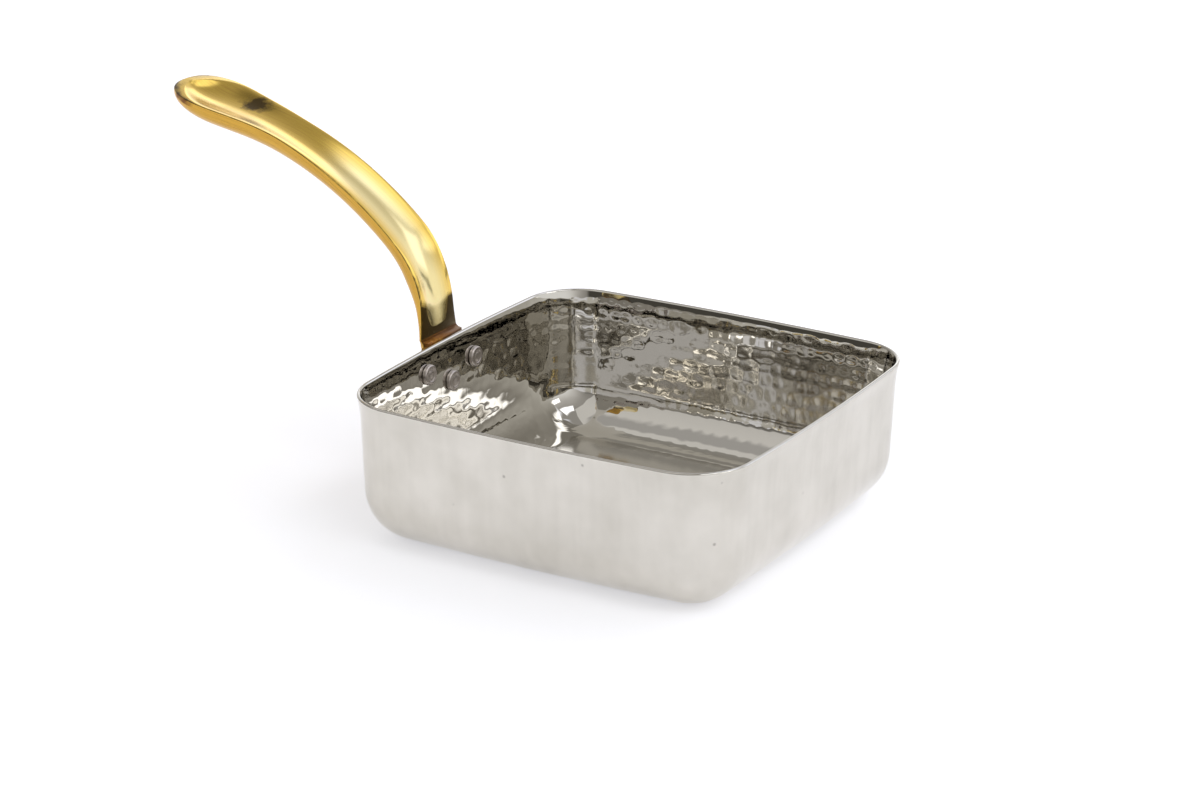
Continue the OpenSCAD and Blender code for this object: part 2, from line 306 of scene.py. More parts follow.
def ring_point(share, inset):
    """A point on the pan's outline at an inset, as a share of the way round, in millimetres."""
    side_len = (SIDE_RAD - inset) * 2 * SIDE_TURN
    corner_len = (RIM_CORNER - inset) * CORNER_TURN
    quarter, s = divmod((share % 1) * 4 * (side_len + corner_len), side_len + corner_len)
    if s < side_len:
        a, r = SIDE_TURN * (2 * s / side_len - 1), SIDE_RAD - inset
        x, y = r * math.cos(a) - SIDE_CENTRE, r * math.sin(a)
    else:
        a, r = SIDE_TURN + (s - side_len) / (RIM_CORNER - inset), RIM_CORNER - inset
        x, y = CORNER_CENTRE + r * math.cos(a), CORNER_CENTRE + r * math.sin(a)
    a = quarter * math.pi / 2
    return x * math.cos(a) - y * math.sin(a), x * math.sin(a) + y * math.cos(a)


def hammer_blows():
    """Where the hammer fell on the inside, row by row from the lip down: the place, depth and
    roundness of each blow. The hand was calmer in some places than in others."""
    hand = random.Random(5)
    blows = []
    down = FIRST_ROW
    row = 0
    while down < LAST_ROW:
        wall = PAN_H - down
        if wall > FILLET_TOP:
            inset, z = wall_in(wall) + SHEET, wall
        else:
            a = math.pi / 2 - WALL_LEAN - (down - PAN_H + FILLET_TOP) / BASE_FILLET
            r = BASE_FILLET - SHEET
            inset, z = FILLET_IN - r * math.sin(a), BASE_FILLET - r * math.cos(a)
        side_len = (SIDE_RAD - inset) * 2 * SIDE_TURN
        count = round(4 * (side_len + (RIM_CORNER - inset) * CORNER_TURN) / BLOW_STEP)
        for i in range(count):
            share = (i + 0.5 * (row % 2) + hand.uniform(-0.2, 0.2)) / count
            x, y = ring_point(share, inset)
            place = (x, y, z + hand.uniform(-0.5, 0.5))
            depth = hand.uniform(*BLOW_DEPTH)
            calm = 1.2 + 0.8 * math.sin(x / 15 + 1.3) * math.cos(y / 17 - z / 9 + 0.4)
            blows.append((place, depth, hand.uniform(*BLOW_ROUND) * calm))
        down += ROW_STEP
        row += 1
    return blows


def outside_marks():
    """The few marks outside, each with its place, depth and roundness: a row of crescents low on
    the front, ripples down the front corner, and faint hollows across the front."""
    half = SIDE / 2
    marks = []
    for x in (-6, 2, 10, 18.5, 27):
        y = -half + 2.6 + 0.0006 * x * x
        marks.append((Vector((x, y, 12.5 + 0.2 * math.sin(x))), 0.25, 12))
    for z in (39, 33.4, 27.8, 22.2):
        lean = 0.05 * (39 - z)
        marks.append((Vector((half - 7.2 - lean, -half + 7.2 + lean, z)), 0.12, 26))
    for x, z in ((-20, 24), (-10, 26), (14, 23), (25, 29), (33, 22), (40, 28)):
        marks.append((Vector((x, -half + 2.4, z)), 0.05, 60))
    return marks


def hammer(pan, blows):
    """Presses the blows into the inside of the sheet. Outside, they show faintly the other way
    round, with the few marks. All fade out below the rim's crown and at the flat floor."""
    places = KDTree(len(blows))
    for i, (place, _, _) in enumerate(blows):
        places.insert(place, i)
    places.balance()
    outside = outside_marks()
    normals = [point.normal.copy() for point in pan.data.vertices]
    for point, normal in zip(pan.data.vertices, normals):
        co = point.co / MM
        dents = []
        for place, i, _ in places.find_n(co, NEAREST):
            off = place - co
            reach = ALONG_WALL * (off.x ** 2 + off.y ** 2) + UP_WALL * off.z ** 2
            dents.append(blows[i][1] - reach / (2 * blows[i][2]))
        best = max(dents)
        meeting = sum(math.exp((dent - best) / MEETING) for dent in dents)
        depth = min(max(best + MEETING * math.log(meeting), 0.0), DEEPEST)
        inwards = normal.x * co.x + normal.y * co.y < 0 or normal.z > 0.3
        if not (inwards and co.z > SHEET - 0.05):
            marks = [deep - (place - co).length_squared / (2 * roundness)
                     for place, deep, roundness in outside]
            depth = SHOWN_OUTSIDE * (DEEPEST - depth) + max(0.0, *marks)
        fade = clamp((PAN_H - co.z - 0.9) / 2.5) * clamp((co.z - SHEET - 0.15) / 1.2)
        point.co -= normal * (depth * fade * MM)
    pan.data.update()


def make_pan():
    pan = pan_profile()
    sweep_round(pan)
    close_floor(SHEET)
    close_floor(0.0)
    point_outwards()
    hammer(pan, hammer_blows())
    pick(pan)
    bpy.ops.object.shade_smooth()
    return pan


# ---- the handle ----------------------------------------------------------------------------------

def straight_on(place, s):
    x, z, heading = place
    return x - s * math.sin(heading), z + s * math.cos(heading), heading


def bend_on(place, radius, s):
    x, z, heading = place
    turned = heading + s / radius
    return (x + radius * (math.cos(turned) - math.cos(heading)),
            z + radius * (math.sin(turned) - math.sin(heading)), turned)


# Where each stretch of the handle's path starts: x, z and heading, and millimetres from the rim
ROOT_START = (-SIDE / 2 - FLANGE_T + 0.1, PAN_H, math.radians(ROOT_LEAN))
ELBOW_START = straight_on(ROOT_START, ROOT_LEN)
ARM_FROM = ROOT_LEN + ELBOW_RAD * math.radians(ELBOW_TURN)
ARM_START = bend_on(ELBOW_START, ELBOW_RAD, ARM_FROM - ROOT_LEN)
TIP_FROM = ARM_FROM + ARM_RAD * math.radians(ARM_TURN)
TIP_START = bend_on(ARM_START, ARM_RAD, TIP_FROM - ARM_FROM)
HANDLE_LEN = TIP_FROM + TIP_LEN
WAIST_AT = ROOT_LEN + WAIST_UP
ROUND_FROM = HANDLE_LEN - TIP_ROUND
DISH_FROM = SHELF_H + DISH_START
DISH_OPENED = DISH_FROM + DISH_DEEPEN
SPOON_FROM = HANDLE_LEN - SPOON_LEN

# How many sections each stretch gets, from the rim to where the tip's rounding begins, then round
# the foot and the tip. The tip's last section stops a trace short of its end.
STRETCHES = ((0, SHELF_H, 2), (SHELF_H, DISH_FROM, 4), (DISH_FROM, DISH_OPENED, 30),
             (DISH_OPENED, ARM_FROM, 22), (ARM_FROM, TIP_FROM, 46), (TIP_FROM, ROUND_FROM, 8))
FOOT_SECTIONS, TIP_SECTIONS, TIP_QUARTER = 12, 29, 28.7


def spine(s):
    """The handle's path along its face: x, z and heading at s millimetres from the rim."""
    if s < ROOT_LEN:
        return straight_on(ROOT_START, s)
    if s < ARM_FROM:
        return bend_on(ELBOW_START, ELBOW_RAD, s - ROOT_LEN)
    if s < TIP_FROM:
        return bend_on(ARM_START, ARM_RAD, s - ARM_FROM)
    return straight_on(TIP_START, s - TIP_FROM)


def foot(s):
    """How the section shrinks to the rounded foot below the rim."""
    return max(math.sqrt(max(1 - (s / FOOT_LEN) ** 2, 0.0)), 0.06) if s < 0 else 1.0


def half_width(s):
    width = WAIST_W / 2 + (ROOT_W - WAIST_W) / 2 * clamp(1 - s / WAIST_AT) ** 2
    width += (ARM_W - WAIST_W) / 2 * ease((s - WAIST_AT) / (ARM_FROM - WAIST_AT))
    width += (SPOON_W - ARM_W) / 2 * ease((s - SPOON_FROM) / SPOON_LEN)
    return width * foot(s) * rounding(clamp((s - ROUND_FROM) / TIP_ROUND), TIP_POWER)


def thickness(s):
    belly = (s - ARM_FROM - BELLY_START) / (HANDLE_LEN - BELLY_END - ARM_FROM - BELLY_START)
    depth = (ROOT_T + (ARM_T - ROOT_T) * ease(s / (ROOT_LEN + THICK_UP))
             + (SPOON_T - ARM_T) * ease(belly))
    return depth * foot(s) * rounding(clamp((s - ROUND_FROM) / TIP_ROUND), 2)


def dish_half(s):
    """Half the hollow's width, which leaves a narrow land beside each edge."""
    end = rounding(clamp((s - ROUND_FROM) / (TIP_ROUND - TIP_LAND)), TIP_POWER)
    opening = clamp((s - DISH_FROM) / DISH_OPEN) ** 0.25
    return max((half_width(s) - LAND) * end * opening, half_width(s) * 0.1)


def dish_depth(s):
    end = rounding(clamp((s - ROUND_FROM) / (TIP_ROUND - TIP_LAND)), TIP_POWER)
    deep = ARM_DISH + (SPOON_DISH - ARM_DISH) * ease((s - SPOON_FROM) / SPOON_LEN)
    return deep * (1 - (1 - clamp((s - DISH_FROM) / DISH_DEEPEN)) ** 1.5) * end ** 1.5


def handle_section(s):
    """One section round the handle as [across, above the face]: belly, crisp edge, land, hollow,
    land, crisp edge."""
    half, deep, sink = half_width(s), thickness(s), BURY * clamp(1 - s / SHELF_H)
    crisp = min(EDGE, 0.2 * half, 0.2 * deep)
    ring = []
    for i in range(BELLY_STEPS + 1):
        a = math.pi * i / BELLY_STEPS
        across = math.copysign(abs(math.cos(a)) ** (2 / BELLY_POWER), math.cos(a))
        above = sink - (deep + sink) * math.sin(a) ** (2 / BELLY_POWER)
        ring.append((half * across, min(above, sink - crisp)))
    ring[0], ring[-1] = (half, sink - crisp), (-half, sink - crisp)
    below = min(0.25, 0.3 * deep)
    side = half * rounding(below / (deep + sink), BELLY_POWER)
    ring.insert(1, (side, sink - crisp - below))
    ring.insert(-1, (-side, sink - crisp - below))
    turns = [math.radians(30 * i) for i in range(1, EDGE_STEPS + 1)]
    edge = [(half - crisp * (1 - math.cos(a)), sink - crisp * (1 - math.sin(a))) for a in turns]
    ring += [(-across, above) for across, above in edge]
    dish, hollow = dish_half(s), dish_depth(s)
    beside = dish + min(0.15, 0.3 * max(half - crisp - dish, 0.0))
    ring.append((-beside, sink))
    for i in range(DISH_STEPS + 1):
        u = 2 * i / DISH_STEPS - 1
        ring.append((dish * u, sink - hollow * (1 - u * u) ** DISH_CURVE))
    ring.append((beside, sink))
    return ring + edge[::-1]


def handle_stations():
    """Where the sections stand: close together at the foot, at the hollow's lower end and round
    the tip."""
    stations = [-FOOT_LEN * math.cos(math.pi / 2 * i / FOOT_SECTIONS) for i in range(FOOT_SECTIONS)]
    for start, end, count in STRETCHES:
        stations += [start + (end - start) * i / count for i in range(count)]
    return stations + [ROUND_FROM + TIP_ROUND * math.sin(math.pi / 2 * i / TIP_QUARTER)
                       for i in range(TIP_SECTIONS)]


def tarnish_and_painted_shade_at(s, number, count):
    """How brown the brass is at point number of section s: tarnish on the unpolished root and along
    the filed edges, with the near edge darker still as a painted dark reflection, painted shade
    under the tip's lip, and a painted dark reflection where the spoon begins."""
    left_edge = BELLY_POINTS <= number < BELLY_POINTS + EDGE_STEPS
    edge = left_edge or number >= count - EDGE_STEPS
    beside = edge or number in (BELLY_POINTS + EDGE_STEPS, count - EDGE_STEPS - 1)
    # The near edge's extra brown is a painted dark reflection; the rest is tarnish on the filed
    # edges
    brown = 0.8 if left_edge else 0.3 if edge else 0.0
    if number < BELLY_POINTS:
        brown = 0.5 * clamp((3 - s) / 3)
        # Painted shade: darker on the near belly just under the tip's lip
        if number >= BELLY_POINTS - 4:
            tip = 0.7 * clamp((s - HANDLE_LEN + 15) / 5) * clamp((HANDLE_LEN - 3.5 - s) / 2)
            brown = max(brown, tip)
        return brown
    if beside or s < DISH_FROM + 0.1:
        brown = max(brown, 0.95 * clamp(ROOT_BROWN - s))
    if not beside:
        # Painted dark reflection: a brown blotch where the spoon begins
        place = 2 * (number - BELLY_POINTS - EDGE_STEPS - 1) / DISH_STEPS - 1
        off = math.hypot((s - PAINTED_REFLECTION_AT[0]) / PAINTED_REFLECTION_SIZE[0],
                         (dish_half(s) * place - PAINTED_REFLECTION_AT[1]) / PAINTED_REFLECTION_SIZE[1])
        brown = max(brown, clamp(1.15 - 0.7 * off))
    return brown


# What the brass's material reads at each point: how brown it is, and its place along and round the
# handle in millimetres
BRASS_NOTES = ("tarnish_and_painted_shade", "along", "girth")
POLISHED, SATIN = 0, 1


def make_stem():
    """A straight tube of sections, each of which is then bent and shaped to its place along the
    handle."""
    stations = handle_stations()
    sections = [handle_section(s) for s in stations]
    count = len(sections[0])
    bpy.ops.mesh.primitive_circle_add(vertices=count, radius=MM, fill_type="NOTHING")
    stem = bpy.context.object
    stem.name = stem.data.name = "brass_handle"
    edit(stem)
    bpy.ops.mesh.select_all(action="SELECT")
    for _ in stations[1:]:
        bpy.ops.mesh.extrude_region_move(TRANSFORM_OT_translate={"value": (0, 0, MM)})
    bpy.ops.object.mode_set(mode="OBJECT")
    start = stem.data.vertices[0].co.copy()
    start_angle = math.atan2(start.y, start.x)
    numbers = []
    tarnish_and_painted_shade, along, girth = (stem.data.attributes.new(name, "FLOAT", "POINT")
                             for name in BRASS_NOTES)
    for point in stem.data.vertices:
        station = round(point.co.z / MM)
        turn = (math.atan2(point.co.y, point.co.x) - start_angle) % (2 * math.pi)
        number = round(turn / (2 * math.pi) * count) % count
        numbers.append(number)
        s = stations[station]
        across, above = sections[station][number]
        tarnish_and_painted_shade.data[point.index].value = tarnish_and_painted_shade_at(s, number, count)
        along.data[point.index].value = s
        girth.data[point.index].value = across if number > BELLY_POINTS else 30 + 0.7 * number
        x, z, heading = spine(s)
        place = Vector((x + above * math.cos(heading), across, z + above * math.sin(heading)))
        point.co = place * MM
    edit(stem)
    bpy.ops.mesh.select_all(action="DESELECT")
    bpy.ops.mesh.select_mode(type="EDGE")
    bpy.ops.mesh.select_non_manifold()
    bpy.ops.mesh.fill_holes(sides=0)
    point_outwards()
    for face in stem.data.polygons:
        belly = all(numbers[v] < BELLY_POINTS for v in face.vertices)
        face.material_index = SATIN if belly else POLISHED
    return stem


def make_flange():
    """The solid's own flange and root, cut off above the shelf, where the finely modelled stem
    takes over, and browner towards the rim."""
    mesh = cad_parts["handle"].data.copy()
    flange = bpy.data.objects.new("brass_flange", mesh)
    bpy.context.scene.collection.objects.link(flange)
    edit(flange)
    bpy.ops.mesh.select_all(action="SELECT")
    bpy.ops.mesh.remove_doubles(threshold=0.001 * MM)
    bpy.ops.mesh.select_all(action="SELECT")
    bpy.ops.mesh.bisect(plane_co=(0, 0, (PAN_H + SHELF_H + 0.3) * MM), plane_no=UPRIGHT,
                        use_fill=True, clear_outer=True)
    bpy.ops.object.mode_set(mode="OBJECT")
    brown = flange.data.attributes.new("tarnish_and_painted_shade", "FLOAT", "POINT")
    for point in flange.data.vertices:
        brown.data[point.index].value = 0.5 + 0.35 * clamp((point.co.z / MM - PAN_H + 3) / 3)
    flange.data.materials.clear()
    return flange


def make_handle(polished, satin):
    stem, flange = make_stem(), make_flange()
    for piece in (stem, flange):
        piece.data.materials.append(polished)
        piece.data.materials.append(satin)
    for face in flange.data.polygons:
        face.material_index = SATIN
    pick(stem)
    flange.select_set(True)
    bpy.ops.object.join()
    bpy.ops.object.shade_smooth_by_angle(angle=math.radians(38))
    return stem


# ---- the rivets ----------------------------------------------------------------------------------

def wall_frame():
    """The wall's own frame below the handle: x along the rim towards -Y, y up the wall from the
    rim, z outwards."""
    return (Matrix.Translation(Vector((-SIDE / 2, 0, PAN_H))) @ Matrix.Rotation(-WALL_LEAN, 4, "Y")
            @ Matrix.Rotation(-math.pi / 2, 4, "Z") @ Matrix.Rotation(math.pi / 2, 4, "X"))


def make_rivet(name, across, drop, turn):
    """A rivet turned on its own axis: a button head with a pressed ring, the shank, and a dome over
    the flange. Its profile is a list of radius and height."""
    wall = lip_in(PAN_H - drop) + SIDE_RAD - math.sqrt(SIDE_RAD ** 2 - across ** 2)
    seat = -wall - SHEET - HEAD_GAP
    outer = FLANGE_T + DOME_GAP
    r, shank, face = HEAD_D / 2, SHANK_D / 2, seat - HEAD_H
    profile = [(0.55, face + 0.02), (1.15, face + 0.02), (1.35, face + 0.10), (1.55, face + 0.16),
               (1.85, face + 0.16), (2.0, face + 0.08), (2.1, face + 0.02), (2.3, face),
               (2.55, face + 0.01)]
    for i in range(1, 7):
        a = math.radians(15 * i)
        profile.append((r - 0.6 + 0.6 * math.sin(a), face + 0.6 - 0.6 * math.cos(a)))
    profile += [(r, seat - 0.12), (r - 0.1, seat), (shank, seat), (shank, outer), (r, outer)]
    dome = (r ** 2 + DOME_H ** 2) / (2 * DOME_H)
    for i in range(1, 10):
        a = math.asin(r / dome) * (1 - i / 10)
        profile.append((dome * math.sin(a), outer + DOME_H - dome + dome * math.cos(a)))
    rivet = start_profile(name, 0, face + 0.02)
    for x, z in profile + [(0.0, outer + DOME_H)]:
        draw_to(x, z)
    bpy.ops.mesh.select_all(action="SELECT")
    spin(64, 2 * math.pi, (0, 0, 0), UPRIGHT)
    bpy.ops.mesh.select_all(action="SELECT")
    bpy.ops.mesh.remove_doubles(threshold=0.002 * MM)
    point_outwards()
    place = (wall_frame() @ Matrix.Translation(Vector((across, -drop, 0)))
             @ Matrix.Rotation(turn, 4, "Z"))
    place.translation *= MM
    rivet.matrix_world = place
    bpy.context.view_layer.update()
    pick(rivet)
    bpy.ops.object.shade_smooth_by_angle(angle=math.radians(40))
    return rivet


# ---- materials -----------------------------------------------------------------------------------

def new_material(name):
    material = bpy.data.materials.new(name)
    material.use_nodes = True
    material.node_tree.nodes.clear()
    return material, material.node_tree


def mirror_steel():
    """Stainless sheet, hammered and then buffed to a mirror: sharp reflections, with a faint cloud
    of polishing haze, about 10 mm across."""
    material, tree = new_material("hand_hammered_mirror_polished_stainless")
    place = add_node(tree, "ShaderNodeTexCoord")
    cloud = add_node(tree, "ShaderNodeTexNoise", {"Scale": 90.0, "Detail": 4.0},
                     {"Vector": place.outputs["Object"]})
    rough = add_node(tree, "ShaderNodeMapRange", {"To Min": 0.015, "To Max": 0.045},
                     {"Value": cloud.outputs["Fac"]})
    shader = add_node(tree, "ShaderNodeBsdfPrincipled",
                      {"Base Color": linear("#CDCAC3"), "Metallic": 1.0},
                      {"Roughness": rough.outputs["Result"]})
    add_node(tree, "ShaderNodeOutputMaterial", None, {"Surface": shader.outputs["BSDF"]})
    return material


def floor_steel():
    """The flat bottom keeps its rolled grain under a light buff: blurred reflections drawn out
    along the grain, whose lines are about 1 mm apart, and a slight wave in the sheet."""
    material, tree = new_material("lightly_buffed_rolled_stainless")
    place = add_node(tree, "ShaderNodeTexCoord")
    drawn = add_node(tree, "ShaderNodeMapping", {"Scale": (12.0, 900.0, 1.0)},
                     {"Vector": place.outputs["Object"]})
    grain = add_node(tree, "ShaderNodeTexNoise", {"Scale": 1.0, "Detail": 3.0},
                     {"Vector": drawn.outputs["Vector"]})
    rough = add_node(tree, "ShaderNodeMapRange", {"To Min": 0.1, "To Max": 0.2},
                     {"Value": grain.outputs["Fac"]})
    wave = add_node(tree, "ShaderNodeTexNoise", {"Scale": 45.0, "Detail": 1.0},
                    {"Vector": place.outputs["Object"]})
    relief = add_node(tree, "ShaderNodeBump", {"Strength": 0.25, "Distance": 0.4 * MM},
                      {"Height": wave.outputs["Fac"]})
    shader = add_node(tree, "ShaderNodeBsdfPrincipled",
                      {"Base Color": linear("#C9C6BF"), "Metallic": 1.0},
                      {"Roughness": rough.outputs["Result"], "Normal": relief.outputs["Normal"]})
    add_node(tree, "ShaderNodeOutputMaterial", None, {"Surface": shader.outputs["BSDF"]})
    return material


def buffed_steel():
    """Buffed stainless: a soft warm grey sheen, with clouds and faint upright strokes, about 4 mm
    wide, left by the buffing wheel, and a few dark polishing pits."""
    material, tree = new_material("buffed_stainless_outside")
    place = add_node(tree, "ShaderNodeTexCoord")
    cloud = add_node(tree, "ShaderNodeTexNoise", {"Scale": 60.0, "Detail": 4.0},
                     {"Vector": place.outputs["Object"]})
    drawn = add_node(tree, "ShaderNodeMapping", {"Scale": (260.0, 260.0, 14.0)},
                     {"Vector": place.outputs["Object"]})
    stroke = add_node(tree, "ShaderNodeTexNoise", {"Scale": 1.0, "Detail": 3.0},
                      {"Vector": drawn.outputs["Vector"]})
    uneven = add_node(tree, "ShaderNodeMath", {1: 0.3},
                      {0: stroke.outputs["Fac"], 2: cloud.outputs["Fac"]},
                      operation="MULTIPLY_ADD")
    rough = add_node(tree, "ShaderNodeMapRange",
                     {"From Min": 0.45, "From Max": 0.85, "To Min": 0.12, "To Max": 0.22},
                     {"Value": uneven.outputs["Value"]})
    shade = add_node(tree, "ShaderNodeMapRange", {"From Min": 0.45, "From Max": 0.85},
                     {"Value": uneven.outputs["Value"]})
    steel = add_node(tree, "ShaderNodeMix",
                     {FIRST_COLOUR: linear("#D8D4CC"), SECOND_COLOUR: linear("#CBC7BE")},
                     {FACTOR: shade.outputs["Result"]}, data_type="RGBA")
    cells = add_node(tree, "ShaderNodeTexVoronoi", {"Scale": 75.0},
                     {"Vector": place.outputs["Object"]})
    pit = add_node(tree, "ShaderNodeMapRange",
                   {"From Min": 0.02, "From Max": 0.05, "To Min": 0.6, "To Max": 0.0},
                   {"Value": cells.outputs["Distance"]})
    colour = add_node(tree, "ShaderNodeMix", {SECOND_COLOUR: linear("#8E8880")},
                      {FACTOR: pit.outputs["Result"], FIRST_COLOUR: steel.outputs[MIXED_COLOUR]},
                      data_type="RGBA")
    shader = add_node(tree, "ShaderNodeBsdfPrincipled", {"Metallic": 1.0},
                      {"Base Color": colour.outputs[MIXED_COLOUR],
                       "Roughness": rough.outputs["Result"]})
    add_node(tree, "ShaderNodeOutputMaterial", None, {"Surface": shader.outputs["BSDF"]})
    return material


def rivet_steel():
    """Pressed stainless heads, barely polished: a satin grey that doesn't mirror the walls round
    it, with a skin that is uneven over about 1.5 mm."""
    material, tree = new_material("pressed_satin_stainless")
    place = add_node(tree, "ShaderNodeTexCoord")
    cloud = add_node(tree, "ShaderNodeTexNoise", {"Scale": 700.0, "Detail": 3.0},
                     {"Vector": place.outputs["Object"]})
    rough = add_node(tree, "ShaderNodeMapRange", {"To Min": 0.26, "To Max": 0.4},
                     {"Value": cloud.outputs["Fac"]})
    relief = add_node(tree, "ShaderNodeBump", {"Strength": 0.3, "Distance": 0.05 * MM},
                      {"Height": cloud.outputs["Fac"]})
    shader = add_node(tree, "ShaderNodeBsdfPrincipled",
                      {"Base Color": linear("#B8B0AA"), "Metallic": 1.0},
                      {"Roughness": rough.outputs["Result"], "Normal": relief.outputs["Normal"]})
    add_node(tree, "ShaderNodeOutputMaterial", None, {"Surface": shader.outputs["BSDF"]})
    return material


def brass(name, colour, deep, dark, smooth, dull, painted_highlight):
    """Cast brass, polished along its length: long fine streaks, and brown tarnish, ragged at its
    edge, where the mesh says that the polishing wheel didn't reach, and with it painted dark
    reflections and painted shade. On the bend the brass is painted paler and brighter, a painted
    highlight where a window's reflection falls."""
    material, tree = new_material(name)
    place = add_node(tree, "ShaderNodeTexCoord")
    brown, along, girth = (add_node(tree, "ShaderNodeAttribute", attribute_name=note)
                           for note in BRASS_NOTES)

    # Streaks run along the handle, under 1 mm wide and about 20 mm long
    lengthways = add_node(tree, "ShaderNodeMath", {1: 0.035}, {0: along.outputs["Fac"]},
                          operation="MULTIPLY")
    drawn = add_node(tree, "ShaderNodeCombineXYZ", None,
                     {"X": lengthways.outputs["Value"], "Y": girth.outputs["Fac"]})
    streak = add_node(tree, "ShaderNodeTexNoise",
                      {"Scale": 1.6, "Detail": 4.0, "Roughness": 0.65},
                      {"Vector": drawn.outputs["Vector"]})
    rough = add_node(tree, "ShaderNodeMapRange",
                     {"From Min": 0.3, "From Max": 0.7, "To Min": smooth, "To Max": dull},
                     {"Value": streak.outputs["Fac"]})
    wear = add_node(tree, "ShaderNodeMapRange", {"From Min": 0.42, "From Max": 0.68},
                    {"Value": streak.outputs["Fac"]})
    polish = add_node(tree, "ShaderNodeMix",
                      {FIRST_COLOUR: linear(colour), SECOND_COLOUR: linear(deep)},
                      {FACTOR: wear.outputs["Result"]}, data_type="RGBA")

    # The painted highlight on the bend: paler brass from 76 to 56 mm along the handle, and in the
    # middle of the hollow
    highlight_stretch = add_node(tree, "ShaderNodeMapRange",
                    {"From Min": 76.0, "From Max": 56.0, "To Max": painted_highlight},
                    {"Value": along.outputs["Fac"]}, interpolation_type="SMOOTHSTEP")
    aside = add_node(tree, "ShaderNodeMath", None, {0: girth.outputs["Fac"]}, operation="ABSOLUTE")
    middle = add_node(tree, "ShaderNodeMapRange", {"From Min": 8.5, "From Max": 2.5},
                      {"Value": aside.outputs["Value"]}, interpolation_type="SMOOTHSTEP")
    bright = add_node(tree, "ShaderNodeMath", None,
                      {0: highlight_stretch.outputs["Result"], 1: middle.outputs["Result"]},
                      operation="MULTIPLY")
    metal = add_node(tree, "ShaderNodeMix", {SECOND_COLOUR: linear("#F7E9B2")},
                     {FACTOR: bright.outputs["Value"], FIRST_COLOUR: polish.outputs[MIXED_COLOUR]},
                     data_type="RGBA")

    # Tarnish, painted dark reflections and painted shade, with a ragged edge of 2 mm blotches
    blotch = add_node(tree, "ShaderNodeTexNoise", {"Scale": 420.0, "Detail": 4.0},
                      {"Vector": place.outputs["Object"]})
    ragged = add_node(tree, "ShaderNodeMath", None,
                      {0: brown.outputs["Fac"], 1: blotch.outputs["Fac"]}, operation="ADD")
    amount = add_node(tree, "ShaderNodeMapRange",
                      {"From Min": 0.82, "From Max": 1.35, "To Max": 0.95},
                      {"Value": ragged.outputs["Value"]}, interpolation_type="SMOOTHSTEP")
    tint = add_node(tree, "ShaderNodeMix", {SECOND_COLOUR: linear(dark)},
                    {FACTOR: amount.outputs["Result"], FIRST_COLOUR: metal.outputs[MIXED_COLOUR]},
                    data_type="RGBA")
    dulled = add_node(tree, "ShaderNodeMath", {1: 0.2},
                      {0: amount.outputs["Result"], 2: rough.outputs["Result"]},
                      operation="MULTIPLY_ADD")

    relief = add_node(tree, "ShaderNodeBump", {"Strength": 0.12, "Distance": 0.1 * MM},
                      {"Height": streak.outputs["Fac"]})
    shader = add_node(tree, "ShaderNodeBsdfPrincipled",
                      {"Metallic": 1.0, "Coat Weight": 0.2, "Coat Roughness": 0.12},
                      {"Base Color": tint.outputs[MIXED_COLOUR],
                       "Roughness": dulled.outputs["Value"], "Normal": relief.outputs["Normal"]})
    add_node(tree, "ShaderNodeOutputMaterial", None, {"Surface": shader.outputs["BSDF"]})
    return material


# ---- studio --------------------------------------------------------------------------------------

# The camera's direction from the pan in degrees, its place in millimetres and its lens
AZIMUTH, ELEVATION, ROLL = 30.134, 20.25, 0.332
CAMERA_AT = (475.064, -837.324, 392.105)
SENSOR, LENS = 36.0, 103.57

# The panels' place: azimuth from +Y towards +X and elevation of the middle, half the width and half
# the height, and softness of the edge, all in degrees, then the light that each shows. A later one
# covers an earlier one.
PANELS = (
    (26, 58, 24, 12, 8, (1.38, 1.43, 1.62)),  # broad soft sheet, high behind on the right
    (62, 44, 12, 13, 4, (1.35, 1.38, 1.5)),  # sheet on the right
    (31, 25, 13, 15, 3, (1.4, 1.45, 1.65)),  # sheet low behind on the right
    (106, 56, 24, 7, 4, (3.2, 3.25, 3.45)),  # bright strip high in front on the right
    (89, 29, 11, 4, 2, (4.5, 4.5, 4.6)),  # small bright strip below it
    (-46, 57, 12, 9, 6, (0.1, 0.09, 0.07)),  # dark screen high behind
    (27, 1, 14, 2.5, 1, (0.2, 0.21, 0.2)),  # dark rail at floor height on the right
    (-112, 60, 22, 12, 6, (0.12, 0.11, 0.1)),  # dark screen high on the left
    (-20, 20, 9, 7, 3, (1.7, 1.72, 1.8)),  # small soft sheet behind
    (-152, 4, 40, 12, 4, (0.08, 0.075, 0.065)),  # dark cloth low in front on the left
)


def make_camera():
    azimuth, elevation, roll = (math.radians(angle) for angle in (AZIMUTH, ELEVATION, ROLL))
    back = Vector((math.sin(azimuth) * math.cos(elevation),
                   -math.cos(azimuth) * math.cos(elevation), math.sin(elevation)))
    level = Vector((math.cos(azimuth), math.sin(azimuth), 0))
    above = back.cross(level)
    right = math.cos(roll) * level + math.sin(roll) * above
    up = math.cos(roll) * above - math.sin(roll) * level
    data = bpy.data.cameras.new("photo_camera")
    data.sensor_width = SENSOR
    data.lens = LENS
    camera = bpy.data.objects.new("photo_camera", data)
    bpy.context.scene.collection.objects.link(camera)
    turn = Matrix((right, up, back)).transposed().to_4x4()
    camera.matrix_world = Matrix.Translation(Vector(CAMERA_AT) * MM) @ turn
    bpy.context.scene.camera = camera


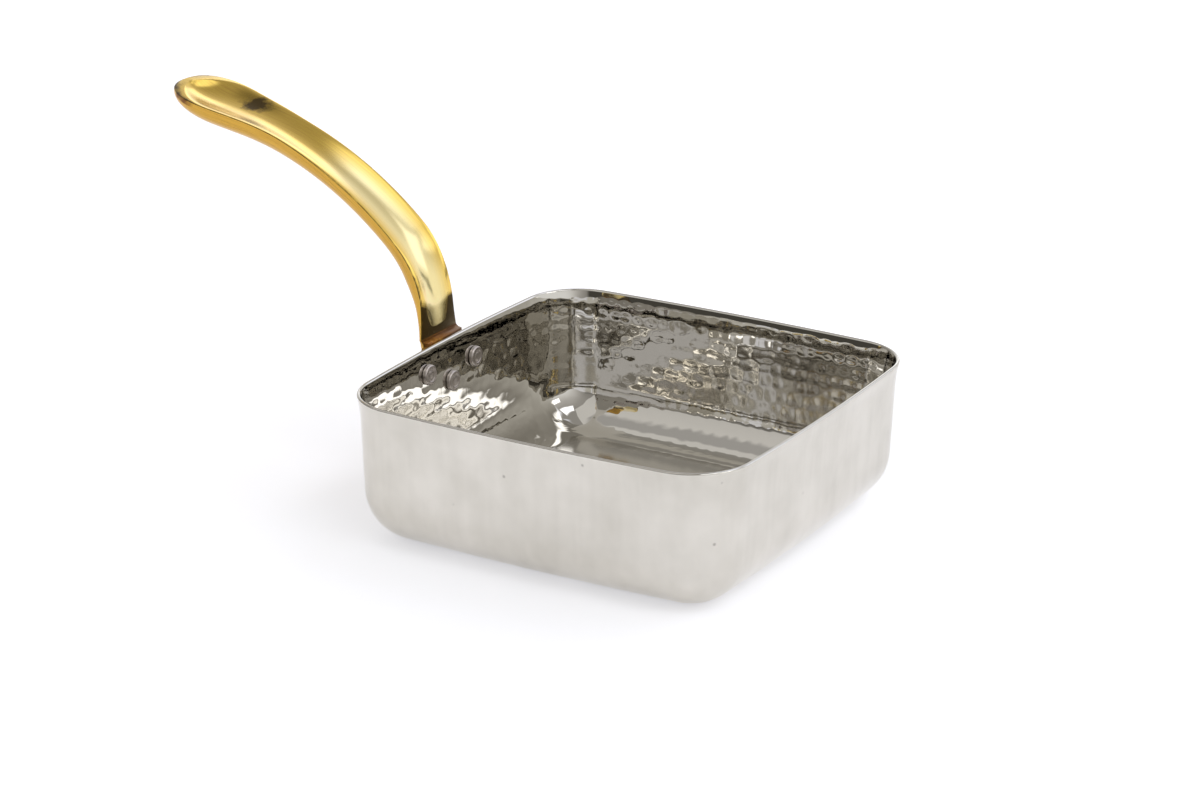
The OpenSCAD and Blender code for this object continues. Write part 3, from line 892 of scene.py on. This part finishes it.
def make_floor():
    """A sheet of matt white paper, 12 m wide. To the camera and in reflections it is a little
    brighter, so that it goes over into the white behind, and it keeps the pan's shadow."""
    bpy.ops.mesh.primitive_plane_add(size=12, location=(0, 0, 0))
    floor = bpy.context.object
    floor.name = "studio_floor"
    material, tree = new_material("matt_white_paper_floor")
    path = add_node(tree, "ShaderNodeLightPath")
    seen = add_node(tree, "ShaderNodeMath", None,
                    {0: path.outputs["Is Camera Ray"], 1: path.outputs["Is Glossy Ray"]},
                    operation="MAXIMUM")
    through = add_node(tree, "ShaderNodeMath", None,
                       {0: seen.outputs["Value"], 1: path.outputs["Is Transmission Ray"]},
                       operation="MAXIMUM")
    lift = add_node(tree, "ShaderNodeMath", {1: 0.4}, {0: through.outputs["Value"]},
                    operation="MULTIPLY")
    paper = add_node(tree, "ShaderNodeBsdfDiffuse", {"Color": linear("#F8F8F7")})
    glow = add_node(tree, "ShaderNodeEmission", {"Color": linear("#F3F5FF")},
                    {"Strength": lift.outputs["Value"]})
    both = add_node(tree, "ShaderNodeAddShader", None,
                    {0: paper.outputs["BSDF"], 1: glow.outputs["Emission"]})
    add_node(tree, "ShaderNodeOutputMaterial", None, {"Surface": both.outputs["Shader"]})
    floor.data.materials.append(material)


def make_world():
    """A white sweep behind, dimmer overhead, and a darker, warmer room in front on the left, with
    the studio's panels. The camera itself sees plain white."""
    world = bpy.data.worlds.new("studio")
    bpy.context.scene.world = world
    world.use_nodes = True
    tree = world.node_tree
    tree.nodes.clear()
    place = add_node(tree, "ShaderNodeTexCoord")
    axes = add_node(tree, "ShaderNodeSeparateXYZ", None, {"Vector": place.outputs["Generated"]})
    back = add_node(tree, "ShaderNodeMapRange",
                    {"From Min": 0.1, "From Max": 0.9, "To Min": 1.0, "To Max": 0.4},
                    {"Value": axes.outputs["Z"]}, interpolation_type="SMOOTHSTEP")
    front = add_node(tree, "ShaderNodeMapRange",
                     {"From Min": 0.0, "From Max": 0.9, "To Min": 0.3, "To Max": 0.42},
                     {"Value": axes.outputs["Z"]}, interpolation_type="SMOOTHSTEP")
    towards = add_node(tree, "ShaderNodeVectorMath", {1: (-0.65, -0.76, 0.0)},
                       {0: place.outputs["Generated"]}, operation="DOT_PRODUCT")
    share = add_node(tree, "ShaderNodeMapRange", {"From Min": -0.2, "From Max": 0.7},
                     {"Value": towards.outputs["Value"]}, interpolation_type="SMOOTHSTEP")
    room = add_node(tree, "ShaderNodeMix", None,
                    {FACTOR: share.outputs["Result"], FIRST_NUMBER: back.outputs["Result"],
                     SECOND_NUMBER: front.outputs["Result"]}, data_type="FLOAT")
    warmth = add_node(tree, "ShaderNodeMix",
                      {FIRST_COLOUR: (1, 0.94, 0.86, 1), SECOND_COLOUR: WHITE},
                      {FACTOR: room.outputs[MIXED_NUMBER]}, data_type="RGBA")
    look = add_node(tree, "ShaderNodeVectorMath", None,
                    {0: warmth.outputs[MIXED_COLOUR], "Scale": room.outputs[MIXED_NUMBER]},
                    operation="SCALE").outputs["Vector"]

    azimuth = add_node(tree, "ShaderNodeMath", None,
                       {0: axes.outputs["X"], 1: axes.outputs["Y"]}, operation="ARCTAN2")
    height = add_node(tree, "ShaderNodeMath", None, {0: axes.outputs["Z"]}, operation="ARCSINE")
    for side, up, half_wide, half_high, soft, light in PANELS:
        inside = []
        for turn, middle, half in ((azimuth, side, half_wide), (height, up, half_high)):
            off = add_node(tree, "ShaderNodeMath", {1: math.radians(middle)},
                           {0: turn.outputs["Value"]}, operation="SUBTRACT")
            # A panel may lie across the line where the azimuth jumps from 180 to -180
            off = add_node(tree, "ShaderNodeMath", {1: math.pi, 2: -math.pi},
                           {0: off.outputs["Value"]}, operation="WRAP")
            off = add_node(tree, "ShaderNodeMath", None, {0: off.outputs["Value"]},
                           operation="ABSOLUTE")
            inside.append(add_node(tree, "ShaderNodeMath", {0: math.radians(half)},
                                   {1: off.outputs["Value"]}, operation="SUBTRACT"))
        within = add_node(tree, "ShaderNodeMath", None,
                          {0: inside[0].outputs["Value"], 1: inside[1].outputs["Value"]},
                          operation="MINIMUM")
        edge = math.radians(soft)
        mask = add_node(tree, "ShaderNodeMapRange", {"From Min": -edge, "From Max": edge},
                        {"Value": within.outputs["Value"]}, interpolation_type="SMOOTHSTEP")
        look = add_node(tree, "ShaderNodeMix", {SECOND_COLOUR: (*light, 1)},
                        {FACTOR: mask.outputs["Result"], FIRST_COLOUR: look},
                        data_type="RGBA").outputs[MIXED_COLOUR]

    path = add_node(tree, "ShaderNodeLightPath")
    seen = add_node(tree, "ShaderNodeMix", {SECOND_COLOUR: WHITE},
                    {FACTOR: path.outputs["Is Camera Ray"], FIRST_COLOUR: look}, data_type="RGBA")
    sky = add_node(tree, "ShaderNodeBackground", None, {"Color": seen.outputs[MIXED_COLOUR]})
    add_node(tree, "ShaderNodeOutputWorld", None, {"Surface": sky.outputs["Background"]})


def add_softbox(name, at, aim, size, power):
    """A square area lamp at a place in metres, aimed at a point."""
    data = bpy.data.lights.new(name, "AREA")
    data.shape = "RECTANGLE"
    data.size, data.size_y = size
    data.energy = power
    lamp = bpy.data.objects.new(name, data)
    bpy.context.scene.collection.objects.link(lamp)
    place = Vector(at)
    turn = (place - Vector(aim)).to_track_quat("Z", "Y").to_matrix().to_4x4()
    lamp.matrix_world = Matrix.Translation(place) @ turn


# ---- putting it together -------------------------------------------------------------------------

MIRROR, BUFFED, ROLLED = 0, 1, 2


def pan_finish(face):
    """Which finish a face of the pan has: buffed outside and underneath, rolled grain on the flat
    floor, and mirror polish on the walls and over the rim."""
    middle = face.center
    outwards = face.normal.x * middle.x + face.normal.y * middle.y > 0
    if outwards and middle.z < (PAN_H - 0.4) * MM or middle.z < 0.5 * SHEET * MM:
        return BUFFED
    return ROLLED if face.normal.z > 0.9999 and middle.z < (SHEET + 0.1) * MM else MIRROR


make_camera()
pan = make_pan()
for material in (mirror_steel(), buffed_steel(), floor_steel()):
    pan.data.materials.append(material)
for face in pan.data.polygons:
    face.material_index = pan_finish(face)
settle(pan)
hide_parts("pan_body")

# The second brass, for the sides and the flange, is satin; its darker, deeper colour is painted
# shade
handle = make_handle(
    brass("polished_cast_brass", "#EFCB5E", "#E2BA58", "#4A3813", 0.13, 0.19, 0.8),
    brass("satin_brass_sides_painted_shade", "#CDA143", "#BC903C", "#74481C", 0.2, 0.3, 0.0))
settle(handle)
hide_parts("handle")

steel = rivet_steel()
for name, (across, drop, turn) in RIVETS.items():
    rivet = make_rivet("steel_" + name, across, drop, turn)
    rivet.data.materials.append(steel)
    settle(rivet)
    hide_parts(name)

make_floor()
make_world()
add_softbox("top_softbox", (-0.65, -0.8, 1.4), (0, 0, 0.03), (2.2, 2.2), 5.7)

bpy.context.scene.view_settings.view_transform = "Standard"
